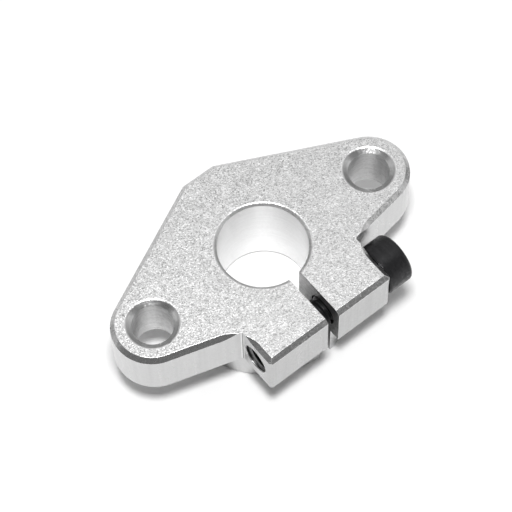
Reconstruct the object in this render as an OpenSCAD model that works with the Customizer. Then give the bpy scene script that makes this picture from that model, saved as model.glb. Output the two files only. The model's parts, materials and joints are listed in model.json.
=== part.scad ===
// Flanged shaft support block with a split, screw-clamped bore.
// The bore's axis is Z. The boss stands on z = 0 and the flat mounting face is on top.
// The two mounting holes lie along X, and the clamp ears reach out along -Y.

/* [Bore and boss] */
// Diameter of the shaft bore
bore_d = 12; // [8:0.5:12]
// Diameter of the round boss
boss_d = 25; // [22:0.5:26]
// Length of the bore, from the boss's end to the mounting face
bore_l = 13; // [10:0.5:20]
// Size of the broken edge at both ends of the bore
bore_break = 0.35; // [0.1:0.05:0.5]

/* [Flange] */
// Thickness of the flange and of the ears
flange_t = 7.4; // [6.5:0.1:9]
// Distance between the two mounting holes
hole_pitch = 36; // [34:0.5:44]
// Diameter of the mounting holes
hole_d = 5.5; // [3.5:0.1:6]
// Diameter of the mounting holes' countersunk mouths
hole_mouth_d = 7; // [6.5:0.1:8]
// Depth of the mounting holes' countersunk mouths
hole_mouth_depth = 0.5; // [0.3:0.1:1]
// Radius of the flange's rounded ends
end_r = 5.5; // [5:0.1:7]
// Distance from the bore's axis to the narrow flat edge behind it
apex_reach = 13.8; // [13:0.1:16]
// Width of that narrow flat edge
apex_w = 5; // [3:0.5:8]
// Slope of the flange's front edge on the side of the screw's tip
tip_side_slope = 17; // [8:1:18]
// Slope of the flange's front edge on the side of the screw's head
head_side_slope = 9; // [6:1:10]

/* [Clamp ears] */
// Width of the two ears together, over the slit
ear_w = 19.9; // [18:0.1:22]
// Distance from the bore's axis to the ears' front face
ear_reach = 14; // [14:0.5:18]
// Width of the clamping slit
slit_w = 1.8; // [1:0.1:2]
// Distance of the slit's middle from the bore's axis, towards the screw's head
slit_shift = 0.35; // [-0.5:0.05:0.5]

/* [Clamp screw] */
// Thread diameter of the clamp screw
screw_d = 4; // [4:0.5:4]
// Length of the clamp screw under its head
screw_l = 16; // [12:1:18]
// Diameter of the screw's cylindrical head
head_d = 7; // [6.5:0.1:7]
// Height of the screw's head
head_h = 3.85; // [3:0.05:5]
// Width across the flats of the hexagon socket
key_w = 3; // [2:0.5:3.5]
// Depth of the hexagon socket
key_depth = 2; // [1:0.5:2.5]
// Distance from the bore's axis to the screw's axis
screw_reach = 10.7; // [10.7:0.1:11]
// Distance from the boss's end to the screw's axis
screw_height = 9.2; // [9:0.1:9.6]

/* [Edges] */
// Size of the chamfer around the mounting face
face_chamfer = 0.65; // [0.2:0.05:0.7]
// Size of the chamfers on the lower edges
low_chamfer = 0.2; // [0.1:0.05:0.3]
// Radius of the ears' outer corners, over which the face chamfer is mitred
ear_corner_r = 0.5; // [0.3:0.1:1]
// Radius of the corners beside the narrow flat edge
apex_corner_r = 1; // [1:0.1:1.5]
// Radius in the profile's two inner corners
root_r = 0.4; // [0.2:0.1:0.5]
// Radius of the tool that cuts the face chamfer, which can't reach the inner corners
tool_r = 4; // [3.5:0.5:5]

/* [Hidden] */
$fn = 96;

// Heights of the body
face_z = bore_l;
flange_z = bore_l - flange_t;
over = 1;
margin = 0.3;
// Amount by which a rounding stands proud of its flats, so that the two surfaces
// cross cleanly, and the run-on of a straight chamfer cutter past such a rounding
ease = 0.004;
run_on = 0.5;

// Holes for the clamp screw: the tapped one is drawn at the screw's major diameter
// with a running clearance, and the thread itself isn't drawn
screw_clear_d = screw_d + 0.5;
tapped_d = screw_d + 0.12;
tapped_mouth_d = screw_d + 0.3;
mouth_margin = 0.03;
seat_gap = 0.05;

// Screw details
head_round = 0.6;
head_base_chamfer = 0.2;
socket_mouth_d = key_w * 1.25;
tip_chamfer = 0.6;
socket_cone_h = 0.6;

// Plan of the block, for side = 1 (screw head) and side = -1 (screw tip)
end_x = hole_pitch / 2;
ear_x = ear_w / 2;
apex_x = apex_w / 2;
function slope(side) = side > 0 ? head_side_slope : tip_side_slope;

// Rear edge: from the apex's corner, tangent to the rounded end
apex_dx = end_x - apex_x;
apex_span = sqrt(apex_dx * apex_dx + apex_reach * apex_reach);
rear_a = atan2(apex_reach, apex_dx) - asin(end_r / apex_span);
rear_normal = 90 - rear_a;

// Front edge: tangent to the rounded end, down to the inner corner at the ear
function front_normal(side) = slope(side) - 90;
function root_y(side) = -end_r / cos(slope(side)) - (end_x - ear_x) * tan(slope(side));

// Inner corner: half of the open angle, and a point on its bisector
function root_half(side) = (90 + slope(side)) / 2;
function root_point(side, r) =
    let (reach = r / sin(root_half(side)), a = root_half(side) - 90)
    [ear_x + reach * cos(a), root_y(side) + reach * sin(a)];
function root_run(side, r) = r / tan(root_half(side));

// A point on a circle
function polar(r, a) = [r * cos(a), r * sin(a)];

// Centres of the corner roundings
ear_corner = [ear_x - ear_corner_r, ear_corner_r - ear_reach];
apex_turn = 90 - rear_normal;
apex_run = apex_corner_r * tan(apex_turn / 2);
apex_corner = [apex_x - apex_run, apex_reach - apex_corner_r];

// Half of the plan, drawn for side = 1 and mirrored for side = -1
module half_plan(side) {
    end_c = [end_x, 0];
    root = [ear_x, root_y(side)];
    fillet_c = root_point(side, root_r);
    run = root_run(side, root_r);
    front_dir = polar(1, slope(side));
    mirror([side > 0 ? 0 : 1, 0]) {
        polygon([
            [-over, -ear_reach],
            [ear_corner.x, -ear_reach],
            [ear_x, ear_corner.y],
            root,
            end_c + polar(end_r, front_normal(side)),
            end_c + polar(end_r, rear_normal),
            apex_corner + polar(apex_corner_r, rear_normal),
            [apex_corner.x, apex_reach],
            [-over, apex_reach]
        ]);
        translate(end_c) circle(end_r + ease);
        translate(ear_corner) circle(ear_corner_r + ease);
        translate(apex_corner) circle(apex_corner_r + ease);
        difference() {
            polygon([
                root + [0, -run],
                fillet_c,
                root + run * front_dir,
                root + [-run, run]
            ]);
            translate(fillet_c) circle(root_r + ease);
        }
    }
}

module plan() {
    half_plan(1);
    half_plan(-1);
}

// Right-angled cutting section beyond a chamfer of size c at the edge [0, 0]
module chamfer_section(c) {
    polygon([[-c - margin, margin], [margin, -c - margin], [margin, margin]]);
}

// Chamfer cutter along the straight edge from p to q, with the block on its left
module edge_cutter(p, q, c, before = run_on, after = run_on) {
    d = q - p;
    start = p - before * d / norm(d);
    translate([start.x, start.y, face_z])
        rotate([0, 0, atan2(d.y, d.x)])
            rotate([90, 0, 90])
                mirror([1, 0, 0])
                    linear_extrude(before + norm(d) + after) chamfer_section(c);
}

// Chamfer cutter around an outer rounding of radius r, from angle a0 over angle sweep
module round_cutter(centre, r, a0, sweep, c) {
    translate([centre.x, centre.y, face_z])
        rotate([0, 0, a0])
            rotate_extrude(angle = sweep)
                translate([r + ease, 0]) chamfer_section(c);
}

// The chamfer around the mounting face, for one half of the block
module face_chamfer_half(side) {
    c = face_chamfer;
    end_c = [end_x, 0];
    root = [ear_x, root_y(side)];
    tool_c = root_point(side, tool_r);
    cone_r = tool_r + ease + c;
    run = root_run(side, tool_r);
    rear_start = end_c + polar(end_r, rear_normal);
    front_end = end_c + polar(end_r, front_normal(side));
    front_start = root + run * polar(1, slope(side));
    mirror([side > 0 ? 0 : 1, 0]) {
        edge_cutter([0, -ear_reach], [ear_x, -ear_reach], c);
        edge_cutter([ear_x, -ear_reach], [ear_x, root.y - run], c, after = 0);
        translate([tool_c.x, tool_c.y, face_z - c - margin])
            cylinder(h = c + 2 * margin, r1 = cone_r - c - margin, r2 = cone_r + margin);
        edge_cutter(front_start, front_end, c, before = 0);
        round_cutter(end_c, end_r, front_normal(side), rear_normal - front_normal(side), c);
        edge_cutter(rear_start, apex_corner + polar(apex_corner_r, rear_normal), c);
        round_cutter(apex_corner, apex_corner_r, rear_normal, apex_turn, c);
        edge_cutter([apex_corner.x, apex_reach], [0, apex_reach], c);
    }
}

// Blank of the block: the profile's slice and the turned boss under it
module blank() {
    difference() {
        translate([0, 0, flange_z]) linear_extrude(flange_t) plan();
        face_chamfer_half(1);
        face_chamfer_half(-1);
    }
    cylinder(h = low_chamfer, d1 = boss_d - 2 * low_chamfer, d2 = boss_d);
    translate([0, 0, low_chamfer]) cylinder(h = flange_z - low_chamfer, d = boss_d);
}

// Through hole along Z with a broken edge at each end
module drilled(d, z0, z1, low_break, top_d, top_depth) {
    translate([0, 0, z0 - over]) cylinder(h = z1 - z0 + 2 * over, d = d);
    translate([0, 0, z0 - margin])
        cylinder(h = low_break + margin, d1 = d + 2 * (low_break + margin), d2 = d);
    widening = (top_d - d) / top_depth;
    translate([0, 0, z1 - top_depth])
        cylinder(h = top_depth + margin, d1 = d, d2 = top_d + widening * margin);
}

// Holes for the clamp screw, along X through both ears
module screw_holes() {
    translate([0, -screw_reach, screw_height]) rotate([0, 90, 0]) {
        cylinder(h = ear_x + over, d = screw_clear_d);
        translate([0, 0, -ear_x - over]) cylinder(h = ear_x + over + slit_shift, d = tapped_d);
        translate([0, 0, -ear_x - mouth_margin])
            cylinder(h = mouth_margin + (tapped_mouth_d - tapped_d) / 2,
                     d1 = tapped_mouth_d + 2 * mouth_margin, d2 = tapped_d);
    }
}

module support_body() {
    color([0.80, 0.80, 0.81])
    difference() {
        blank();
        drilled(bore_d, 0, face_z, bore_break, bore_d + 2 * bore_break, bore_break);
        for (x = [-end_x, end_x]) {
            translate([x, 0, 0])
                drilled(hole_d, flange_z, face_z, low_chamfer, hole_mouth_d, hole_mouth_depth);
        }
        translate([slit_shift - slit_w / 2, -ear_reach - over, -over])
            cube([slit_w, ear_reach + over, face_z + 2 * over]);
        screw_holes();
    }
}

// Half section of the screw, revolved: shank, chamfered tip and rounded head
module screw_profile() {
    shank_r = screw_d / 2;
    head_r = head_d / 2;
    polygon([
        [0, -screw_l],
        [shank_r - tip_chamfer, -screw_l],
        [shank_r, tip_chamfer - screw_l],
        [shank_r, 0],
        [head_r - head_base_chamfer, 0],
        [head_r, head_base_chamfer],
        [head_r, head_h - head_round],
        [head_r - head_round, head_h],
        [0, head_h]
    ]);
    translate([head_r - head_round, head_h - head_round]) circle(head_round);
}

module clamp_screw() {
    color([0.13, 0.13, 0.14])
    translate([ear_x + seat_gap, -screw_reach, screw_height]) rotate([0, 90, 0]) difference() {
        rotate_extrude() screw_profile();
        translate([0, 0, head_h - key_depth])
            cylinder(h = key_depth + over, d = key_w / cos(30), $fn = 6);
        translate([0, 0, head_h - key_depth - socket_cone_h])
            cylinder(h = socket_cone_h + margin, d1 = 0.2, d2 = key_w);
        translate([0, 0, head_h - (socket_mouth_d - key_w) / 2])
            cylinder(h = (socket_mouth_d - key_w) / 2 + margin, d1 = key_w,
                     d2 = socket_mouth_d + 2 * margin);
    }
}

support_body();
clamp_screw();
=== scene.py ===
"""Looks of a flanged shaft support block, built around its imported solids.

Lengths are in metres, in the part's own frame: the bore's axis is Z, the flat mounting
face looks up, the mounting holes lie along X and the clamp ears reach out along -Y.
"""

import json
import logging
import math
from dataclasses import dataclass
from enum import Enum
from typing import Any, Callable, ClassVar

import bmesh
import bpy
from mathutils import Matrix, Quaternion, Vector

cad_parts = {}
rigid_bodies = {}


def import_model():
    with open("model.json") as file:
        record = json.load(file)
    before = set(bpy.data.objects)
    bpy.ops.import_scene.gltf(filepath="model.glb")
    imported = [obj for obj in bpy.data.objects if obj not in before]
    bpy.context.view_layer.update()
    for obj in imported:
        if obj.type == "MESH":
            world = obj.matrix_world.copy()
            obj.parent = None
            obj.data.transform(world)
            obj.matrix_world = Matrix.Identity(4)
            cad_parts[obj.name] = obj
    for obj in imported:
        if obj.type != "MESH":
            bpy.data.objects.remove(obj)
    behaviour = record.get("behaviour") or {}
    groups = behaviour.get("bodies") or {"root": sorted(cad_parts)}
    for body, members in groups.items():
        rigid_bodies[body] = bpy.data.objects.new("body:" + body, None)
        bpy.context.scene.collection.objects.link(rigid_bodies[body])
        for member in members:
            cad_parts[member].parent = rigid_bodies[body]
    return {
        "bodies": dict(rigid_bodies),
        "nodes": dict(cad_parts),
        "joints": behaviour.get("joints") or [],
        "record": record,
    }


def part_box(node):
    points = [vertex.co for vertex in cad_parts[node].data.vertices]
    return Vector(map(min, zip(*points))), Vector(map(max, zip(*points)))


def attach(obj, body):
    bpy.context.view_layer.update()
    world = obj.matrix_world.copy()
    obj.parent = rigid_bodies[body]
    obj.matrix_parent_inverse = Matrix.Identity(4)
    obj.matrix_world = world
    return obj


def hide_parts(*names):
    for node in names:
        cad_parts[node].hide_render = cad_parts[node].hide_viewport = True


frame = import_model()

MM = 0.001
LOG = logging.getLogger("shaft_support")

Socket = bpy.types.NodeSocket
Rgb = tuple[float, float, float]
Band = tuple[float, float]  # where a change starts and where it ends
Term = Any  # a node socket, a number or a tuple of numbers


# --- Node trees ---


class Sheet:
    """A node tree that is being filled in, for shaders and Geometry Nodes alike."""

    def __init__(self, tree: bpy.types.NodeTree) -> None:
        """Starts on an empty tree.

        Args:
            tree: The tree that the nodes go into.
        """
        self.tree = tree
        self.tree.nodes.clear()

    def node(self, kind: str, feeds: dict[Any, Term] | None = None, **settings: Any) -> bpy.types.Node:
        """Adds a node.

        Args:
            kind: The node's type name.
            feeds: Input name or number, and the socket or value that it takes.
            **settings: Properties of the node.

        Returns:
            The new node.
        """
        made = self.tree.nodes.new(kind)
        for name, value in settings.items():
            setattr(made, name, value)
        for name, value in (feeds or {}).items():
            self.feed(made.inputs[name], value)
        return made

    def feed(self, socket: Socket, value: Term) -> None:
        """Links a socket to another, or sets its own value.

        Args:
            socket: The input to fill.
            value: An output socket, or a plain value.
        """
        if isinstance(value, Socket):
            self.tree.links.new(value, socket)
        else:
            socket.default_value = value

    def math(self, operation: str, *terms: Term, clamp: bool = False) -> Socket:
        """Adds a Math node and returns its result.

        Args:
            operation: The node's operation.
            *terms: Its one to three terms.
            clamp: Whether the result is kept between 0 and 1.

        Returns:
            The result's socket.
        """
        feeds = dict(enumerate(terms))
        return self.node("ShaderNodeMath", feeds, operation=operation, use_clamp=clamp).outputs[0]

    def vector(self, operation: str, *terms: Term, result: str = "Vector") -> Socket:
        """Adds a Vector Math node and returns its result.

        Args:
            operation: The node's operation.
            *terms: Its terms. A number stands for a vector of three equal numbers.
            result: "Vector", or "Value" for an operation that gives a number.

        Returns:
            The result's socket.
        """
        feeds = dict(enumerate(terms))
        return self.node("ShaderNodeVectorMath", feeds, operation=operation).outputs[result]

    def blend(self, share: Term, low: Term, high: Term) -> Socket:
        """Mixes two numbers.

        Args:
            share: How much of the second number, from 0 to 1.
            low: The first number.
            high: The second number.

        Returns:
            The mixed number's socket.
        """
        feeds = {"Factor": share, "A": low, "B": high}
        return self.node("ShaderNodeMix", feeds, data_type="FLOAT").outputs[0]

    def tint(self, share: Term, low: Term, high: Term) -> Socket:
        """Mixes two colours.

        Args:
            share: How much of the second colour, from 0 to 1.
            low: The first colour, with alpha.
            high: The second colour, with alpha.

        Returns:
            The mixed colour's socket.
        """
        feeds = {0: share, 6: low, 7: high}  # 6 and 7 are the node's colour inputs
        return self.node("ShaderNodeMix", feeds, data_type="RGBA").outputs[2]

    def span(self, value: Term, band: Band, low: Term = 0.0, high: Term = 1.0,
             smooth: bool = False) -> Socket:
        """Maps a number's band to another one, and stops at its ends.

        Args:
            value: The number.
            band: Start and end of its band.
            low: What the start becomes.
            high: What the end becomes.
            smooth: Whether the change eases in and out.

        Returns:
            The mapped number's socket.
        """
        feeds = {0: value, 1: band[0], 2: band[1], 3: low, 4: high}
        kind = "SMOOTHSTEP" if smooth else "LINEAR"
        return self.node("ShaderNodeMapRange", feeds, interpolation_type=kind).outputs[0]


def new_group(name: str, inputs: dict[str, str], outputs: dict[str, str]) -> tuple[Sheet, Any, Any]:
    """Starts a shader node group.

    Args:
        name: The group's name.
        inputs: Name of each socket, and its type without the "NodeSocket" in front.
        outputs: The same for its results.

    Returns:
        The group's sheet, the sockets of its input node and those of its output node.
    """
    tree = bpy.data.node_groups.new(name, "ShaderNodeTree")
    for side, sockets in (("INPUT", inputs), ("OUTPUT", outputs)):
        for label, kind in sockets.items():
            tree.interface.new_socket(label, in_out=side, socket_type="NodeSocket" + kind)
    sheet = Sheet(tree)
    entry = sheet.node("NodeGroupInput").outputs
    leave = sheet.node("NodeGroupOutput").inputs
    return sheet, entry, leave


class SharedEffects:
    """The node groups that several finishes of the block use."""

    WOBBLE_SCALE: ClassVar[float] = 0.7  # of the noise that bends the facets, in grains
    WOBBLE_DETAIL: ClassVar[float] = 1.0
    CLOUD_DETAIL: ClassVar[float] = 3.0
    CLOUD_SHARE: ClassVar[float] = 0.35  # how much the clouds shift a facet's tone
    FACET_DEPTH: ClassVar[float] = 0.9
    LINE_DETAIL: ClassVar[float] = 3.0
    LINE_ROUGHNESS: ClassVar[float] = 0.6
    LINE_BAND: ClassVar[Band] = (0.3, 0.7)  # the noise's values that go from dark to light

    def __init__(self) -> None:
        """Builds each group once."""
        self.grain = self._build_grain()
        self.lines = self._build_lines()

    def _build_grain(self) -> bpy.types.ShaderNodeTree:
        """Builds the grain of blasted metal: facets of random tilt and tone.

        Returns:
            A group that gives a tone and a height from 0 to 1, and a tilted normal.
        """
        inputs = {"Vector": "Vector", "Grain": "Float", "Mottle": "Float", "Tilt": "Float"}
        outputs = {"Tone": "Float", "Height": "Float", "Normal": "Vector"}
        sheet, entry, leave = new_group("blast_grain", inputs, outputs)
        fine = sheet.vector("DIVIDE", entry["Vector"], entry["Grain"])
        broad = sheet.vector("DIVIDE", entry["Vector"], entry["Mottle"])
        wobble = sheet.node("ShaderNodeTexNoise", {
            "Vector": fine, "Scale": self.WOBBLE_SCALE, "Detail": self.WOBBLE_DETAIL})
        bent = sheet.vector("ADD", fine, wobble.outputs["Color"])
        facets = sheet.node("ShaderNodeTexVoronoi", {"Vector": bent, "Scale": 1.0}).outputs
        clouds = sheet.node("ShaderNodeTexNoise", {
            "Vector": broad, "Scale": 1.0, "Detail": self.CLOUD_DETAIL})
        chance = sheet.node("ShaderNodeSeparateColor", {0: facets["Color"]}).outputs[0]
        cloud = sheet.math("SUBTRACT", clouds.outputs["Fac"], 0.5)
        tone = sheet.math("MULTIPLY_ADD", cloud, self.CLOUD_SHARE, chance, clamp=True)
        spread = sheet.vector("SUBTRACT", facets["Color"], (0.5, 0.5, 0.5))
        tilt = sheet.node("ShaderNodeVectorMath", {0: spread, "Scale": entry["Tilt"]},
                          operation="SCALE").outputs[0]
        facing = sheet.node("ShaderNodeNewGeometry").outputs["Normal"]
        leaning = sheet.vector("ADD", facing, tilt)
        sheet.feed(leave["Tone"], tone)
        sheet.feed(leave["Height"], sheet.math("MULTIPLY", facets["Distance"], self.FACET_DEPTH))
        sheet.feed(leave["Normal"], sheet.vector("NORMALIZE", leaning))
        return sheet.tree

    def _build_lines(self) -> bpy.types.ShaderNodeTree:
        """Builds the fine lines that a cutter or a reamer leaves.

        Returns:
            A group that gives a tone and a height from 0 to 1, drawn out along an axis.
        """
        inputs = {"Vector": "Vector", "Pitch": "Vector"}
        outputs = {"Tone": "Float", "Height": "Float"}
        sheet, entry, leave = new_group("tool_lines", inputs, outputs)
        drawn = sheet.vector("DIVIDE", entry["Vector"], entry["Pitch"])
        noise = sheet.node("ShaderNodeTexNoise", {
            "Vector": drawn, "Scale": 1.0, "Detail": self.LINE_DETAIL,
            "Roughness": self.LINE_ROUGHNESS}).outputs["Fac"]
        sheet.feed(leave["Tone"], sheet.span(noise, self.LINE_BAND))
        sheet.feed(leave["Height"], noise)
        return sheet.tree


# --- Finishes ---


def grey(value: float) -> Rgb:
    """Gives a colour without hue.

    Args:
        value: Its lightness, from 0 to 1.

    Returns:
        The colour.
    """
    return value, value, value


@dataclass(frozen=True)
class Finish:
    """A surface finish of one of the block's pieces.

    Attributes:
        name: Name of its material.
        light: Colour of the lightest tone.
        dark: Colour of the darkest tone.
        rough: Roughness of the lightest and of the darkest tone.
        grain: Size of a facet of the grain.
        mottle: Size of the clouds that shift the tone.
        tilt: How far the facets lean.
        bump: Depth of the relief.
        metal: How metallic it is.
        streak: How far it draws highlights out along the bore's axis.
    """

    name: str
    light: Rgb
    dark: Rgb
    rough: tuple[float, float]
    grain: float
    mottle: float
    tilt: float
    bump: float
    metal: float = 1.0
    streak: float = 0.0

    def build(self, effects: SharedEffects) -> bpy.types.Material:
        """Builds the material.

        Args:
            effects: The shared node groups.

        Returns:
            The material.
        """
        material = bpy.data.materials.new(self.name)
        material.use_nodes = True
        sheet = Sheet(material.node_tree)
        place = sheet.node("ShaderNodeTexCoord").outputs["Object"]
        tone, height, normal = self.pattern(sheet, place, effects)
        relief = sheet.node("ShaderNodeBump", {
            "Strength": 1.0, "Distance": self.bump, "Height": height, "Normal": normal})
        shader = sheet.node("ShaderNodeBsdfPrincipled", {
            "Base Color": sheet.tint(tone, (*self.dark, 1.0), (*self.light, 1.0)),
            "Roughness": sheet.blend(tone, self.rough[1], self.rough[0]),
            "Metallic": self.metal,
            "Normal": relief.outputs[0],
        })
        if self.streak:
            upright = sheet.node("ShaderNodeCombineXYZ", {"Z": 1.0}).outputs[0]
            sheet.feed(shader.inputs["Anisotropic"], self.streak)
            sheet.feed(shader.inputs["Tangent"], upright)
        sheet.node("ShaderNodeOutputMaterial", {"Surface": shader.outputs[0]})
        return material

    def pattern(self, sheet: Sheet, place: Term, effects: SharedEffects) -> tuple[Term, Term, Term]:
        """Lays the finish's pattern out; here it is the bare grain.

        Args:
            sheet: The material's sheet.
            place: Object coordinates.
            effects: The shared node groups.

        Returns:
            A tone from 0, dark, to 1, light; a height from 0 to 1; and a normal.
        """
        feeds = {"Vector": place, "Grain": self.grain, "Mottle": self.mottle, "Tilt": self.tilt}
        grain = sheet.node("ShaderNodeGroup", feeds, node_tree=effects.grain).outputs
        return grain["Tone"], grain["Height"], grain["Normal"]


@dataclass(frozen=True)
class Blasted(Finish):
    """Aluminium blasted to a coarse, sparkling grain."""

    grain: float = 0.15 * MM
    mottle: float = 1.6 * MM
    tilt: float = 0.45
    bump: float = 0.02 * MM


@dataclass(frozen=True)
class Machined(Finish):
    """Metal with fine lines from its cutting, softened by a light grain.

    Attributes:
        pitch: How far the lines are drawn out along X, Y and Z.
    """

    GRAIN_SHARE: ClassVar[float] = 0.4  # how much of the tone the grain gives

    grain: float = 0.25 * MM
    mottle: float = 1.5 * MM
    tilt: float = 0.08
    bump: float = 0.004 * MM
    pitch: tuple[float, float, float] = (0.35 * MM, 0.35 * MM, 25 * MM)

    def pattern(self, sheet: Sheet, place: Term, effects: SharedEffects) -> tuple[Term, Term, Term]:
        """Lays the tool's lines over the grain; takes and gives what Finish.pattern does."""
        tone, _, normal = super().pattern(sheet, place, effects)
        feeds = {"Vector": place, "Pitch": self.pitch}
        lines = sheet.node("ShaderNodeGroup", feeds, node_tree=effects.lines).outputs
        return sheet.blend(self.GRAIN_SHARE, lines["Tone"], tone), lines["Height"], normal


# --- Places ---


@dataclass(frozen=True)
class Layout:
    """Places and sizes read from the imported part."""

    EAR_FRONT: ClassVar[float] = 3 * MM  # depth of the ears' front, where only they are

    low: Vector
    high: Vector
    bore_r: float
    hole_r: float
    hole_x: float
    ear_x: float
    screw_low: Vector
    screw_high: Vector

    @classmethod
    def read(cls, packed: dict[str, Any]) -> "Layout":
        """Reads the places.


        Returns:
            The layout.
        """
        dims = {mount["name"]: mount["dims"] for mount in packed["record"]["mounts"]}
        low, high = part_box("support_body")
        spots = [vert.co for vert in packed["nodes"]["support_body"].data.vertices]
        screw_low, screw_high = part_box("clamp_screw")
        return cls(
            low=low,
            high=high,
            bore_r=dims["shaft_bore"]["r_mm"] * MM,
            hole_r=dims["mounting_holes"]["hole_r_mm"] * MM,
            hole_x=dims["mounting_holes"]["spacing_x_mm"] * MM / 2,
            ear_x=max(spot.x for spot in spots if spot.y < low.y + cls.EAR_FRONT),
            screw_low=screw_low,
            screw_high=screw_high,
        )

    @property
    def screw_axis(self) -> Vector:
        """A point on the clamp screw's axis, at x = 0."""
        middle = (self.screw_low + self.screw_high) / 2
        return Vector((0.0, middle.y, middle.z))


def link(obj: bpy.types.Object) -> bpy.types.Object:
    """Puts an object in the scene.

    Args:
        obj: The object.

    Returns:
        The same object.
    """
    bpy.context.scene.collection.objects.link(obj)
    return obj


def settle(obj: bpy.types.Object, name: str) -> bpy.types.Object:
    """Turns an object with live modifiers into a plain mesh object.

    Args:
        obj: The object; it is removed.
        name: Name of the plain one.

    Returns:
        The plain object.
    """
    graph = bpy.context.evaluated_depsgraph_get()
    mesh = bpy.data.meshes.new_from_object(obj.evaluated_get(graph), depsgraph=graph)
    bpy.data.objects.remove(obj)
    mesh.name = name
    return link(bpy.data.objects.new(name, mesh))


# --- The block ---


class Region(Enum):
    """The block's kinds of surface, in the order of its material slots."""

    FACE = 0
    UNDERSIDE = 1
    CHAMFER = 2
    SIDE = 3
    BORE = 4
    HOLE = 5
    COUNTERSINK = 6
    SLIT = 7
    TAPPED = 8
    EDGE = 9
    RIM = 10
    EAR = 11
    ROOT = 12


MILLED = (0.6 * MM, 0.6 * MM, 25 * MM)
FINISHES: dict[Region, Finish] = {
    Region.FACE: Blasted(
        "blasted_face", grey(1.0), grey(0.36), (0.45, 0.56), grain=0.135 * MM, tilt=0.33),
    Region.UNDERSIDE: Blasted("blasted_underside", grey(0.62), grey(0.48), (0.36, 0.5)),
    Region.CHAMFER: Machined(
        "cut_chamfer", grey(0.68), grey(0.42), (0.24, 0.34), grain=0.15 * MM, tilt=0.16),
    Region.SIDE: Machined(
        "milled_side", grey(0.61), grey(0.55), (0.26, 0.34), pitch=MILLED, tilt=0.03),
    Region.BORE: Machined(
        "reamed_bore", grey(1.0), grey(0.92), (0.37, 0.43), pitch=(10 * MM, 10 * MM, 0.3 * MM),
        bump=0.01 * MM, streak=0.9),
    Region.HOLE: Machined(
        "drilled_hole", grey(0.86), grey(0.62), (0.32, 0.4), pitch=(3 * MM, 3 * MM, 0.4 * MM),
        bump=0.05 * MM, tilt=0.2, streak=0.94),
    Region.COUNTERSINK: Machined(
        "countersunk_mouth", grey(0.8), grey(0.56), (0.27, 0.37),
        pitch=(3 * MM, 3 * MM, 0.2 * MM), bump=0.015 * MM, grain=0.15 * MM, tilt=0.1),
    Region.SLIT: Machined(
        "sawn_slit", grey(0.66), grey(0.34), (0.3, 0.42), pitch=(0.2 * MM, 20 * MM, 0.2 * MM),
        tilt=0.2),
    # The tapped hole's wall is near black: painted shade inside the hole, not the aluminium's own
    # colour.
    Region.TAPPED: Machined("tapped_hole_painted_shade", grey(0.24), grey(0.12), (0.3, 0.42)),
    # The broken edges are lighter than the faces they join: partly wear, partly a painted highlight of
    # the light that the rounded edges catch.
    Region.EDGE: Blasted("worn_edge_and_painted_highlight", grey(0.92), grey(0.80), (0.3, 0.42), tilt=0.2),
    Region.RIM: Machined(
        "broken_rim", grey(0.86), grey(0.62), (0.38, 0.5), grain=0.14 * MM, tilt=0.24),
    # The ears' faces take the milled side's finish in a darker grey: painted shade on the ears, not a
    # different surface.
    Region.EAR: Machined(
        "milled_ear_painted_shade", grey(0.53), grey(0.46), (0.26, 0.34), pitch=MILLED, tilt=0.03),
    # The concave fillets at the ears' roots are lighter than the sides around them: a painted
    # highlight along each fillet.
    Region.ROOT: Machined("root_fillet_painted_highlight", grey(0.84), grey(0.7), (0.4, 0.5), streak=0.8),
}
# The female thread is near black too: painted shade inside the tapped hole, not the metal's own
# colour.
THREAD_PAINTED_SHADE = Machined(
    "cut_thread_painted_shade", grey(0.22), grey(0.12), (0.3, 0.42), pitch=(2 * MM, 2 * MM, 0.3 * MM))
SCREW_FINISH = Machined(
    "black_oxide", (0.035, 0.035, 0.037), (0.015, 0.015, 0.016), (0.28, 0.45), metal=0.6,
    pitch=(0.4 * MM, 3 * MM, 3 * MM), bump=0.003 * MM, tilt=0.1)


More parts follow.
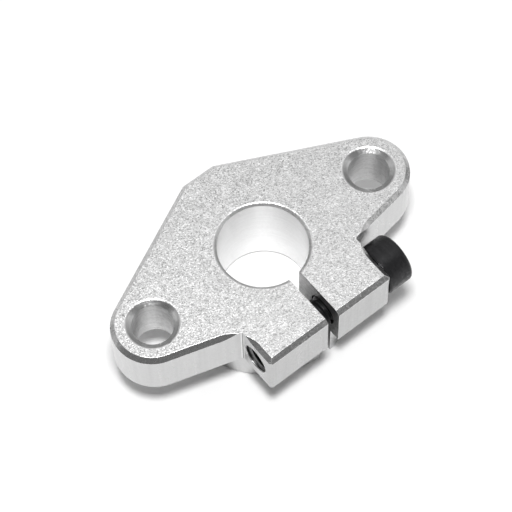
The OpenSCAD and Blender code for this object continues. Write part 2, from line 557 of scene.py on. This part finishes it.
@dataclass(frozen=True)
class SupportBlock:
    """The machined block: flange, boss and split ears in one piece.

    Attributes:
        layout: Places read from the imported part.
        edge_width: Width of a broken edge.
        rim_width: Width of a rounded rim.
        edge_segments: Steps across either.
        edge_angle: Least angle of a broken edge.
        rim_angle: Least angle of a rounded rim.
        merge_distance: Points nearer than this are one.
        flat_angle: Faces that meet at less become one.
        face_band: Depth below the mounting face where its surfaces lie.
        rim_band: The same for its rims.
        bore_inside: Depth inside the bore's wall where its surfaces lie.
        bore_outside: The same outside the wall.
        hole_outside: The same outside a hole's wall.
        mouth_reach: Distance outside bore and holes where their rims lie.
        tapped_reach: Radius about the screw's axis where its holes lie.
        slit_half: Distance from the middle where the slit's walls lie.
        ear_depth: Depth of the ears' sides, from their front.
        root_reach: Distance from the ears' outer faces where their roots lie.
        level: Least upward share of a level face's normal.
        sloped: The same of a slope's.
        endwise: Least sideways share of the normal of an ear's outer face.
        sideways: The same of a slit wall's.
    """

    ROUNDED: ClassVar[tuple[Region, ...]] = (Region.BORE, Region.RIM, Region.COUNTERSINK)

    layout: Layout
    edge_width: float = 0.035 * MM
    rim_width: float = 0.17 * MM
    edge_segments: int = 3
    edge_angle: float = math.radians(32)
    rim_angle: float = math.radians(16)
    merge_distance: float = 0.0005 * MM
    flat_angle: float = math.radians(0.3)
    face_band: float = 0.1 * MM
    rim_band: float = 0.01 * MM
    bore_inside: float = 0.2 * MM
    bore_outside: float = 0.5 * MM
    hole_outside: float = 0.8 * MM
    mouth_reach: float = 0.85 * MM
    tapped_reach: float = 2.5 * MM
    slit_half: float = 1.3 * MM
    ear_depth: float = 4.5 * MM
    root_reach: float = 0.5 * MM
    level: float = 0.9995
    sloped: float = 0.2
    endwise: float = 0.9
    sideways: float = 0.99

    def outside(self, spot: Vector) -> tuple[float, float]:
        """Measures how far a point lies outside the walls of the bore and the nearer hole.

        Args:
            spot: The point.

        Returns:
            The distance from the bore's wall and from the hole's, negative when inside.
        """
        from_bore = math.hypot(spot.x, spot.y) - self.layout.bore_r
        from_hole = math.hypot(abs(spot.x) - self.layout.hole_x, spot.y) - self.layout.hole_r
        return from_bore, from_hole

    def region(self, face: bpy.types.MeshPolygon) -> Region:
        """Says which kind of surface a face belongs to.

        Args:
            face: A face of the finished mesh.

        Returns:
            Its region.
        """
        centre, upward, side = face.center, abs(face.normal.z), abs(face.normal.x)
        high, ear_x, axis = self.layout.high, self.layout.ear_x, self.layout.screw_axis
        from_bore, from_hole = self.outside(centre)
        from_screw = math.hypot(centre.y - axis.y, centre.z - axis.z)
        if upward > self.level:
            return Region.FACE if centre.z > high.z - self.face_band else Region.UNDERSIDE
        if -self.bore_inside < from_bore < self.bore_outside:
            return Region.BORE if upward < self.sloped else Region.RIM
        if from_hole < self.hole_outside:
            return Region.HOLE if upward < self.sloped else Region.COUNTERSINK
        within_ears = abs(centre.x) < ear_x + self.face_band
        if within_ears and from_screw < self.tapped_reach and side < self.endwise:
            return Region.TAPPED
        if upward > self.sloped:
            return Region.CHAMFER
        if abs(centre.x) < self.slit_half and side > self.sideways:
            return Region.SLIT
        if centre.z > high.z / 2:
            if centre.y < self.layout.low.y + self.ear_depth:
                return Region.EAR
            if centre.y < 0.0 and abs(abs(centre.x) - ear_x) < self.root_reach:
                return Region.ROOT
        return Region.SIDE

    def on_rim(self, edge: bmesh.types.BMEdge) -> bool:
        """Says whether an edge lies on the rim of the bore or of a hole's mouth.

        Args:
            edge: An edge of the block.

        Returns:
            True for the rims in the mounting face.
        """
        one, other = (vert.co for vert in edge.verts)
        if min(one.z, other.z) < self.layout.high.z - self.rim_band:
            return False
        return min(self.outside((one + other) / 2)) < self.mouth_reach

    def weigh_edges(self, edit: bmesh.types.BMesh) -> None:
        """Marks the edges to break: fully on the rims, and lightly where the block is sharp.

        Args:
            edit: The block's mesh.
        """
        weight = edit.edges.layers.float.new("bevel_weight_edge")
        for edge in edit.edges:
            angle = edge.calc_face_angle(0.0)
            if angle > self.rim_angle and self.on_rim(edge):
                edge[weight] = 1.0
            elif angle > self.edge_angle:
                edge[weight] = self.edge_width / self.rim_width

    def draft(self) -> bpy.types.Object:
        """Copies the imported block, with its edges marked and smooth faces.

        Returns:
            The copy, without materials.
        """
        mesh = frame["nodes"]["support_body"].data.copy()
        mesh.materials.clear()
        edit = bmesh.new()
        edit.from_mesh(mesh)
        bmesh.ops.remove_doubles(edit, verts=edit.verts, dist=self.merge_distance)
        bmesh.ops.dissolve_limit(edit, angle_limit=self.flat_angle, verts=edit.verts,
                                 edges=edit.edges)
        for face in edit.faces:
            face.smooth = True
        self.weigh_edges(edit)
        edit.to_mesh(mesh)
        edit.free()
        old_normals = mesh.attributes.get("custom_normal")
        if old_normals is not None:
            mesh.attributes.remove(old_normals)
        return link(bpy.data.objects.new("block_draft", mesh))

    def build(self, effects: SharedEffects) -> None:
        """Builds the block's mesh with broken edges, and dresses it.

        Args:
            effects: The shared node groups.
        """
        raw = self.draft()
        for region in Region:
            raw.data.materials.append(FINISHES[region].build(effects))
        bevel = raw.modifiers.new("broken_edges", "BEVEL")
        bevel.width = self.rim_width
        bevel.segments = self.edge_segments
        bevel.limit_method = "WEIGHT"
        bevel.material = Region.EDGE.value
        bevel.harden_normals = True
        piece = settle(raw, "support_block")
        for face in piece.data.polygons:
            region = self.region(face)
            if face.material_index != Region.EDGE.value or region in self.ROUNDED:
                face.material_index = region.value
        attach(piece, "support")
        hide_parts("support_body")
        LOG.info("%s: %d faces", piece.name, len(piece.data.polygons))


# --- Threads ---


@dataclass(frozen=True)
class Thread:
    """Sizes of a right-hand thread around a line along X.

    Attributes:
        start: Where the line starts.
        direction: 1 towards +X, and -1 towards -X.
        length: Length of the line.
        pitch: Distance from turn to turn.
        crest_r: Radius of the crests.
        root_r: Radius of the roots.
        start_r: Radius at the start.
        end_r: Radius at the end.
        start_lead: Distance over which it goes from start_r to the profile.
        end_lead: Distance over which it goes from the profile to end_r.
        cap_r: Radius of the closing rows: 0 for a rod, or a ring's back.
        ring: Whether it lines a hole.
        segments: Steps round the axis.
        rows_per_turn: Rows of faces for each turn.
    """

    start: Vector
    direction: float
    length: float
    pitch: float
    crest_r: float
    root_r: float
    start_r: float
    end_r: float
    start_lead: float
    end_lead: float
    cap_r: float
    ring: bool
    segments: int = 64
    rows_per_turn: int = 16

    @property
    def turns(self) -> int:
        """Whole turns of rows: the length's, one more to start from, and two rows."""
        return math.ceil(self.length / self.pitch + 1 + 2 / self.rows_per_turn)

    @property
    def rows(self) -> int:
        """Number of rows of faces along the thread."""
        return self.turns * self.rows_per_turn


class ThreadMaker:
    """A Geometry Nodes tree that makes a thread as one closed skin."""

    INPUTS: ClassVar[dict[str, str]] = {
        "start": "Vector", "direction": "Float", "length": "Float", "pitch": "Float",
        "crest_r": "Float", "root_r": "Float", "start_r": "Float", "end_r": "Float",
        "start_lead": "Float", "end_lead": "Float", "cap_r": "Float", "segments": "Int",
        "rows": "Int", "turns": "Int", "ring": "Bool",
    }
    PROFILE_BAND: ClassVar[Band] = (0.25, 0.875)  # where the flank rises from root to crest
    PHASE_SHIFT: ClassVar[float] = 0.001  # keeps a whole turn from rounding down
    WELD_DISTANCE: ClassVar[float] = 0.0004 * MM

    def __init__(self) -> None:
        """Builds the tree, with an input for each size of a Thread."""
        self.tree = bpy.data.node_groups.new("thread", "GeometryNodeTree")
        face = self.tree.interface
        face.new_socket("Geometry", in_out="OUTPUT", socket_type="NodeSocketGeometry")
        for name, kind in self.INPUTS.items():
            face.new_socket(name, in_out="INPUT", socket_type="NodeSocket" + kind)
        face.new_socket("material", in_out="INPUT", socket_type="NodeSocketMaterial")
        self._wire()

    def _wire(self) -> None:
        """Wires the tree: a grid of angle and row, bent around the axis.

        Rows are whole numbers, so each test for a row stands half a row from it.
        """
        sheet = Sheet(self.tree)
        entry = sheet.node("NodeGroupInput").outputs
        grid = sheet.node("GeometryNodeMeshGrid", {
            "Size X": 1.0, "Size Y": 1.0,
            "Vertices X": sheet.math("ADD", entry["segments"], 1.0),
            "Vertices Y": sheet.math("ADD", entry["rows"], 1.0)})
        spot = sheet.node("ShaderNodeSeparateXYZ",
                          {0: sheet.node("GeometryNodeInputPosition").outputs[0]}).outputs
        turn = sheet.math("ADD", spot[0], 0.5)
        row = sheet.math("ADD", spot[1], 0.5)
        count = sheet.math("MULTIPLY", row, entry["turns"])
        climb = sheet.math("ADD", sheet.math("SUBTRACT", count, 1.0), turn)
        raw = sheet.math("MULTIPLY", climb, entry["pitch"])
        along = sheet.math("MINIMUM", sheet.math("MAXIMUM", raw, 0.0), entry["length"])
        radius = self._radius(sheet, entry, count, along)
        line = sheet.math("MULTIPLY", row, entry["rows"])
        last = sheet.math("SUBTRACT", entry["rows"], line)
        is_first = sheet.math("LESS_THAN", line, 0.5)
        is_last = sheet.math("LESS_THAN", last, 0.5)
        is_end = sheet.math("MULTIPLY", sheet.math("LESS_THAN", last, 1.5), entry["ring"])
        capped = sheet.math("MAXIMUM", sheet.math("MAXIMUM", is_first, is_last), is_end)
        radius = sheet.blend(capped, radius, entry["cap_r"])
        back = sheet.math("MULTIPLY", is_last, entry["ring"])
        along = sheet.math("MULTIPLY", along, sheet.math("SUBTRACT", 1.0, back))
        angle = sheet.math("MULTIPLY", sheet.math("MULTIPLY", turn, math.tau), entry["direction"])
        offset = sheet.node("ShaderNodeCombineXYZ", {
            "X": sheet.math("MULTIPLY", along, entry["direction"]),
            "Y": sheet.math("MULTIPLY", radius, sheet.math("COSINE", angle)),
            "Z": sheet.math("MULTIPLY", radius, sheet.math("SINE", angle)),
        }).outputs[0]
        bent = sheet.node("GeometryNodeSetPosition", {
            "Geometry": grid.outputs["Mesh"],
            "Position": sheet.vector("ADD", entry["start"], offset)}).outputs[0]
        welded = sheet.node("GeometryNodeMergeByDistance", {
            "Geometry": bent, "Distance": self.WELD_DISTANCE}).outputs[0]
        flipped = sheet.node("GeometryNodeFlipFaces", {
            "Mesh": welded, "Selection": entry["ring"]}).outputs[0]
        whole = sheet.node("GeometryNodeRealizeInstances", {"Geometry": flipped}).outputs[0]
        dressed = sheet.node("GeometryNodeSetMaterial", {
            "Geometry": whole, "Material": entry["material"]}).outputs[0]
        sheet.node("NodeGroupOutput", {"Geometry": dressed})

    def _radius(self, sheet: Sheet, entry: Any, count: Term, along: Term) -> Term:
        """Works out the thread's radius, with its flats and its run-outs.

        Args:
            sheet: The tree's sheet.
            entry: The tree's inputs.
            count: Turns from the start, which also give the place in the profile.
            along: Distance from the start.

        Returns:
            The radius's socket.
        """
        phase = sheet.math("FRACT", sheet.math("ADD", count, self.PHASE_SHIFT))
        wave = sheet.math("ABSOLUTE", sheet.math("MULTIPLY_ADD", phase, 2.0, -1.0))
        height = sheet.span(wave, self.PROFILE_BAND)
        radius = sheet.blend(height, entry["root_r"], entry["crest_r"])
        rise = sheet.math("DIVIDE", along, entry["start_lead"], clamp=True)
        radius = sheet.blend(rise, entry["start_r"], radius)
        left = sheet.math("SUBTRACT", entry["length"], along)
        fall = sheet.math("DIVIDE", left, entry["end_lead"], clamp=True)
        return sheet.blend(fall, entry["end_r"], radius)

    def make(self, name: str, thread: Thread, material: bpy.types.Material) -> bpy.types.Object:
        """Makes a thread as a plain mesh object.

        Args:
            name: The object's name.
            thread: The thread's sizes.
            material: Its finish.

        Returns:
            The object.
        """
        draft = link(bpy.data.objects.new(name + "_draft", bpy.data.meshes.new(name)))
        cut = draft.modifiers.new("thread", "NODES")
        cut.node_group = self.tree
        for item in self.tree.interface.items_tree:
            if item.in_out == "INPUT":
                known = item.name in self.INPUTS
                cut[item.identifier] = getattr(thread, item.name) if known else material
        return settle(draft, name)


@dataclass(frozen=True)
class TappedThread:
    """The female thread that shows in the left ear's hole, past the screw's tip.

    Attributes:
        layout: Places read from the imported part.
        pitch: Distance from turn to turn.
        hole_r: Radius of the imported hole.
        crest_r: Radius of the crests.
        sunk_r: Radius of the ring's back, inside the metal.
        seam: How far the roots stand before the hole's wall, and the ends behind it.
        lead: Distance over which the profile grows and shrinks.
        mouth_gap: Distance from the ear's outer face.
        tip_gap: Distance from the screw's tip.
    """

    layout: Layout
    pitch: float = 0.7 * MM
    hole_r: float = 2.06 * MM
    crest_r: float = 1.68 * MM
    sunk_r: float = 2.2 * MM
    seam: float = 0.01 * MM
    lead: float = 0.35 * MM
    mouth_gap: float = 0.12 * MM
    tip_gap: float = 0.25 * MM

    def build(self, maker: ThreadMaker, effects: SharedEffects) -> None:
        """Builds the thread inside the ear.

        Args:
            maker: The thread's node tree.
            effects: The shared node groups.
        """
        start = self.layout.screw_axis + Vector((-self.layout.ear_x + self.mouth_gap, 0.0, 0.0))
        length = self.layout.screw_low.x - self.tip_gap - start.x
        hidden_r = self.hole_r + self.seam
        thread = Thread(start=start, direction=1.0, length=length, pitch=self.pitch,
                        crest_r=self.crest_r, root_r=self.hole_r - self.seam,
                        start_r=hidden_r, end_r=hidden_r, start_lead=self.lead,
                        end_lead=self.lead, cap_r=self.sunk_r, ring=True)
        piece = maker.make("tapped_thread", thread, THREAD_PAINTED_SHADE.build(effects))
        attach(piece, "support")
        LOG.info("%s: %d faces", piece.name, len(piece.data.polygons))


def circle(radius: float) -> Callable[[float], float]:
    """Gives a ring's radius by angle, for a ring that is round."""
    return lambda angle: radius


@dataclass(frozen=True)
class ClampScrew:
    """The socket head cap screw that closes the slit.

    Attributes:
        layout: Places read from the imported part.
        pitch: Distance from turn to turn.
        crest_r: Radius of the crests.
        root_r: Radius of the roots.
        neck_r: Radius under the head.
        neck_lead: Distance over which the thread grows from the neck.
        tip_r: Radius of the tip's face.
        tip_chamfer: Length of the tip's chamfer.
        sunk: How deep in the head the shank starts.
        head_height: Height of the head.
        head_round: Radius of the head's rounding.
        base_chamfer: Chamfer at the seat.
        seat_share: Share of the head's radius where the seat has a ring.
        key_width: Width of the hexagon socket across its flats.
        key_depth: Depth of the flats.
        mouth_r: Radius of the socket's mouth.
        lip: Width of the broken edges of mouth and bottom.
        key_taper: Share of the hexagon that is left at the bottom.
        cone_depth: Depth of the drilled cone below the flats.
        cone_r: Radius of the cone near its point.
        segments: Steps round the head.
        round_steps: Steps across the rounding.
        merge_distance: Points nearer than this are one.
        thin_distance: Edges shorter than this go.
        smooth_angle: Edges flatter than this look smooth.
    """

    layout: Layout
    pitch: float = 0.7 * MM
    crest_r: float = 1.99 * MM
    root_r: float = 1.6 * MM
    neck_r: float = 1.75 * MM
    neck_lead: float = 1.2 * MM
    tip_r: float = 1.4 * MM
    tip_chamfer: float = 0.6 * MM
    sunk: float = 0.4 * MM
    head_height: float = 3.85 * MM
    head_round: float = 0.6 * MM
    base_chamfer: float = 0.2 * MM
    seat_share: float = 0.6
    key_width: float = 3 * MM
    key_depth: float = 2 * MM
    mouth_r: float = 1.875 * MM
    lip: float = 0.05 * MM
    key_taper: float = 0.9
    cone_depth: float = 0.5 * MM
    cone_r: float = 0.15 * MM
    segments: int = 96
    round_steps: int = 7
    merge_distance: float = 0.0005 * MM
    thin_distance: float = 0.0001 * MM
    smooth_angle: float = math.radians(28)

    @property
    def head_r(self) -> float:
        """Radius of the head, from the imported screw's box."""
        return (self.layout.screw_high.z - self.layout.screw_low.z) / 2

    def hexagon(self, angle: float) -> float:
        """Radius of the hexagon socket's wall at an angle.

        Args:
            angle: The angle about the screw's axis.

        Returns:
            The radius.
        """
        sixth = math.pi / 3
        return self.key_width / 2 / math.cos((angle + sixth / 2) % sixth - sixth / 2)

    def rings(self) -> list[tuple[float, Callable[[float], float]]]:
        """Lists the head's rings, from the seat's middle round to the socket's bottom.

        Returns:
            For each ring, its depth below the head's face and its radius by angle.
        """
        rings = [(self.head_height, circle(0.0)),
                 (self.head_height, circle(self.head_r * self.seat_share)),
                 (self.head_height, circle(self.head_r - self.base_chamfer)),
                 (self.head_height - self.base_chamfer, circle(self.head_r))]
        for step in range(self.round_steps + 1):
            turn = math.pi / 2 * step / self.round_steps
            rings.append((self.head_round * (1 - math.sin(turn)),
                          circle(self.head_r - self.head_round * (1 - math.cos(turn)))))
        bottom = self.key_depth + self.cone_depth
        rings += [(0.0, circle(self.mouth_r + self.lip)),
                  (self.lip, circle(self.mouth_r)),
                  (self.mouth_r - self.key_width / 2, self.hexagon),
                  (self.key_depth, self.hexagon),
                  (self.key_depth + self.lip, lambda angle: self.hexagon(angle) * self.key_taper),
                  (bottom, circle(self.cone_r)),
                  (bottom + self.lip, circle(0.0))]
        return rings

    def build_head(self, material: bpy.types.Material) -> bpy.types.Object:
        """Builds the head by joining its rings.

        Args:
            material: The head's finish.

        Returns:
            The head's object.
        """
        edit = bmesh.new()
        axis = self.layout.screw_axis
        loops = []
        for depth, radius in self.rings():
            loop = []
            for step in range(self.segments):
                angle = math.tau * step / self.segments
                reach = radius(angle)
                loop.append(edit.verts.new((self.layout.screw_high.x - depth,
                                            axis.y + reach * math.cos(angle),
                                            axis.z + reach * math.sin(angle))))
            loops.append(loop)
        for inner, outer in zip(loops, loops[1:]):
            for step in range(self.segments):
                after = (step + 1) % self.segments
                edit.faces.new((inner[step], outer[step], outer[after], inner[after]))
        bmesh.ops.remove_doubles(edit, verts=edit.verts, dist=self.merge_distance)
        bmesh.ops.dissolve_degenerate(edit, edges=edit.edges, dist=self.thin_distance)
        bmesh.ops.recalc_face_normals(edit, faces=edit.faces)
        for edge in edit.edges:
            edge.smooth = edge.calc_face_angle(0.0) < self.smooth_angle
        for face in edit.faces:
            face.smooth = True
        mesh = bpy.data.meshes.new("screw_head")
        edit.to_mesh(mesh)
        edit.free()
        mesh.materials.append(material)
        return link(bpy.data.objects.new("screw_head", mesh))

    def build(self, maker: ThreadMaker, effects: SharedEffects) -> None:
        """Builds head and threaded shank, and joins them.

        Args:
            maker: The thread's node tree.
            effects: The shared node groups.
        """
        black = SCREW_FINISH.build(effects)
        head = self.build_head(black)
        seat_x = self.layout.screw_high.x - self.head_height
        start = self.layout.screw_axis + Vector((seat_x + self.sunk, 0.0, 0.0))
        thread = Thread(start=start, direction=-1.0, length=start.x - self.layout.screw_low.x,
                        pitch=self.pitch, crest_r=self.crest_r, root_r=self.root_r,
                        start_r=self.neck_r, end_r=self.tip_r, start_lead=self.neck_lead,
                        end_lead=self.tip_chamfer, cap_r=0.0, ring=False)
        shank = maker.make("screw_shank", thread, black)
        with bpy.context.temp_override(active_object=head, object=head,
                                       selected_objects=[head, shank],
                                       selected_editable_objects=[head, shank]):
            bpy.ops.object.join()
        head.name = "socket_screw"
        head.data.name = "socket_screw"
        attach(head, "screw")
        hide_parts("clamp_screw")
        LOG.info("%s: %d faces", head.name, len(head.data.polygons))


# --- Studio ---


def direction(azimuth: float, elevation: float) -> Vector:
    """The direction in which something stands, seen from the block.

    Args:
        azimuth: Degrees; 0 is the front, -Y, and 90 is +X.
        elevation: Degrees above the floor.

    Returns:
        A unit vector.
    """
    a, e = math.radians(azimuth), math.radians(elevation)
    return Vector((math.sin(a) * math.cos(e), -math.cos(a) * math.cos(e), math.sin(e)))


def aim(obj: bpy.types.Object, target: Vector, away: Vector, distance: float) -> None:
    """Stands a lamp or a camera off a point, and turns it to look at the point.

    Args:
        obj: The lamp or camera.
        target: The point.
        away: Unit vector from the point to where it stands.
        distance: How far off it stands.
    """
    obj.location = target + away * distance
    obj.rotation_mode = "QUATERNION"
    obj.rotation_quaternion = (-away).to_track_quat("-Z", "Y")


@dataclass(frozen=True)
class Softbox:
    """A soft square lamp that looks at the block, placed in degrees and metres."""

    name: str
    azimuth: float
    elevation: float
    distance: float
    size: float
    radiance: float

    def hang(self, target: Vector) -> None:
        """Hangs the lamp.

        Args:
            target: The point that it looks at.
        """
        lamp = bpy.data.lights.new(self.name, "AREA")
        lamp.shape = "SQUARE"
        lamp.size = self.size
        lamp.energy = self.radiance * math.pi * self.size ** 2
        holder = link(bpy.data.objects.new(self.name, lamp))
        aim(holder, target, direction(self.azimuth, self.elevation), self.distance)


@dataclass(frozen=True)
class Viewpoint:
    """Where the camera stands, in metres and degrees; its lens and sensor in mm."""

    target: tuple[float, float, float] = (0.388 * MM, 2.076 * MM, 6.5 * MM)
    azimuth: float = -36.847
    elevation: float = 61.611
    roll: float = -2.0925
    distance: float = 270.388 * MM
    lens: float = 142.95
    sensor: float = 36.0
    nearest: float = 0.01
    farthest: float = 10.0

    def set_up(self) -> None:
        """Makes the scene's camera."""
        data = bpy.data.cameras.new("camera")
        data.lens = self.lens
        data.sensor_width = self.sensor
        data.clip_start = self.nearest
        data.clip_end = self.farthest
        camera = link(bpy.data.objects.new("camera", data))
        aim(camera, Vector(self.target), direction(self.azimuth, self.elevation), self.distance)
        roll = Quaternion((0.0, 0.0, 1.0), math.radians(self.roll))
        camera.rotation_quaternion = camera.rotation_quaternion @ roll
        bpy.context.scene.camera = camera


@dataclass(frozen=True)
class Floor:
    """The floor: a diffuse sheet, as white as paper to rays that look at it.

    Attributes:
        size: Length of its sides.
        albedo: Share of light that it throws back on the block.
        seen: The same towards camera, glossy and transmission rays.
    """

    size: float = 0.8
    albedo: float = 0.6
    seen: float = 0.98

    def lay(self) -> None:
        """Lays the floor around the origin."""
        half = self.size / 2
        mesh = bpy.data.meshes.new("floor")
        mesh.from_pydata([(-half, -half, 0), (half, -half, 0), (half, half, 0), (-half, half, 0)],
                         [], [(0, 1, 2, 3)])
        material = bpy.data.materials.new("pale_floor")
        material.use_nodes = True
        sheet = Sheet(material.node_tree)
        path = sheet.node("ShaderNodeLightPath").outputs
        mirrored = sheet.math("MAXIMUM", path["Is Glossy Ray"], path["Is Transmission Ray"])
        looking = sheet.math("MAXIMUM", path["Is Camera Ray"], mirrored)
        colour = sheet.tint(looking, (*grey(self.albedo), 1.0), (*grey(self.seen), 1.0))
        matt = sheet.node("ShaderNodeBsdfDiffuse", {"Color": colour}).outputs[0]
        sheet.node("ShaderNodeOutputMaterial", {"Surface": matt})
        mesh.materials.append(material)
        link(bpy.data.objects.new("floor", mesh))


@dataclass(frozen=True)
class Dome:
    """Weak light from all round, which the chamfers and the round walls mirror.

    Each band is a span of a direction's share across the front, towards it or upwards.

    Attributes:
        front: Azimuth of the front.
        front_glow: Low in front.
        side_glow: Low at the front's right.
        rear_glow: Low beside the block.
        middle_glow: In front, halfway up.
        overhead_glow: In front, near the top.
        horizon_glow: Behind, at the floor.
        back_glow: Behind, higher up.
        seen_glow: Where the camera sees the dome itself.
        side_band: Across, from front_glow to side_glow.
        rear_band: Towards the front, from rear_glow to those two.
        middle_band: Upwards in front, from the low glows to the high ones.
        overhead_band: Upwards in front, from middle_glow to overhead_glow.
        back_band: Upwards behind, from horizon_glow to back_glow.
        turn_band: Towards the front, from the glows behind to those in front.
    """

    front: float = -37.0
    front_glow: float = 0.27
    side_glow: float = 1.15
    rear_glow: float = 1.8
    middle_glow: float = 0.04
    overhead_glow: float = 0.5
    horizon_glow: float = 0.14
    back_glow: float = 0.79
    seen_glow: float = 1.0
    side_band: Band = (0.8, 0.95)
    rear_band: Band = (-0.1, 0.18)
    middle_band: Band = (0.5, 0.66)
    overhead_band: Band = (0.85, 0.96)
    back_band: Band = (0.15, 0.5)
    turn_band: Band = (-0.3, 0.1)

    def light(self) -> None:
        """Lights the world: dark low in front, and lighter beside, behind and overhead."""
        world = bpy.data.worlds.new("dome")
        bpy.context.scene.world = world
        world.use_nodes = True
        sheet = Sheet(world.node_tree)
        place = sheet.node("ShaderNodeTexCoord").outputs["Generated"]
        front, right = direction(self.front, 0.0), direction(self.front + 90, 0.0)
        toward = sheet.vector("DOT_PRODUCT", place, front, result="Value")
        across = sheet.vector("DOT_PRODUCT", place, right, result="Value")
        height = sheet.node("ShaderNodeSeparateXYZ", {0: place}).outputs["Z"]
        low = sheet.span(across, self.side_band, self.front_glow, self.side_glow, smooth=True)
        nearer = sheet.span(toward, self.rear_band, smooth=True)
        low = sheet.blend(nearer, self.rear_glow, low)
        above = sheet.span(height, self.overhead_band, self.middle_glow, self.overhead_glow,
                           smooth=True)
        ahead = sheet.blend(sheet.span(height, self.middle_band, smooth=True), low, above)
        behind = sheet.span(height, self.back_band, self.horizon_glow, self.back_glow, smooth=True)
        glow = sheet.blend(sheet.span(toward, self.turn_band, smooth=True), behind, ahead)
        looking = sheet.node("ShaderNodeLightPath").outputs["Is Camera Ray"]
        strength = sheet.blend(looking, glow, self.seen_glow)
        shine = sheet.node("ShaderNodeBackground", {"Strength": strength}).outputs[0]
        sheet.node("ShaderNodeOutputWorld", {"Surface": shine})


@dataclass(frozen=True)
class Studio:
    """Floor, soft light and camera."""

    floor: Floor = Floor()
    dome: Dome = Dome()
    key: Softbox = Softbox("key", azimuth=-37.0, elevation=77.5, distance=0.4, size=0.08,
                           radiance=64.0)
    viewpoint: Viewpoint = Viewpoint()

    def build(self, middle: Vector) -> None:
        """Builds the studio.

        Args:
            middle: The block's middle, which the lamp looks at.
        """
        bpy.context.scene.view_settings.view_transform = "Standard"
        self.floor.lay()
        self.dome.light()
        self.key.hang(middle)
        self.viewpoint.set_up()
        LOG.info("studio ready")


def main() -> None:
    """Builds the block, its screw and the studio."""
    logging.basicConfig(level=logging.INFO, format="%(name)s: %(message)s")
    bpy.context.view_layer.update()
    layout = Layout.read(frame)
    effects = SharedEffects()
    maker = ThreadMaker()
    SupportBlock(layout).build(effects)
    TappedThread(layout).build(maker, effects)
    ClampScrew(layout).build(maker, effects)
    Studio().build((layout.low + layout.high) / 2)


if __name__ == "__main__":
    main()
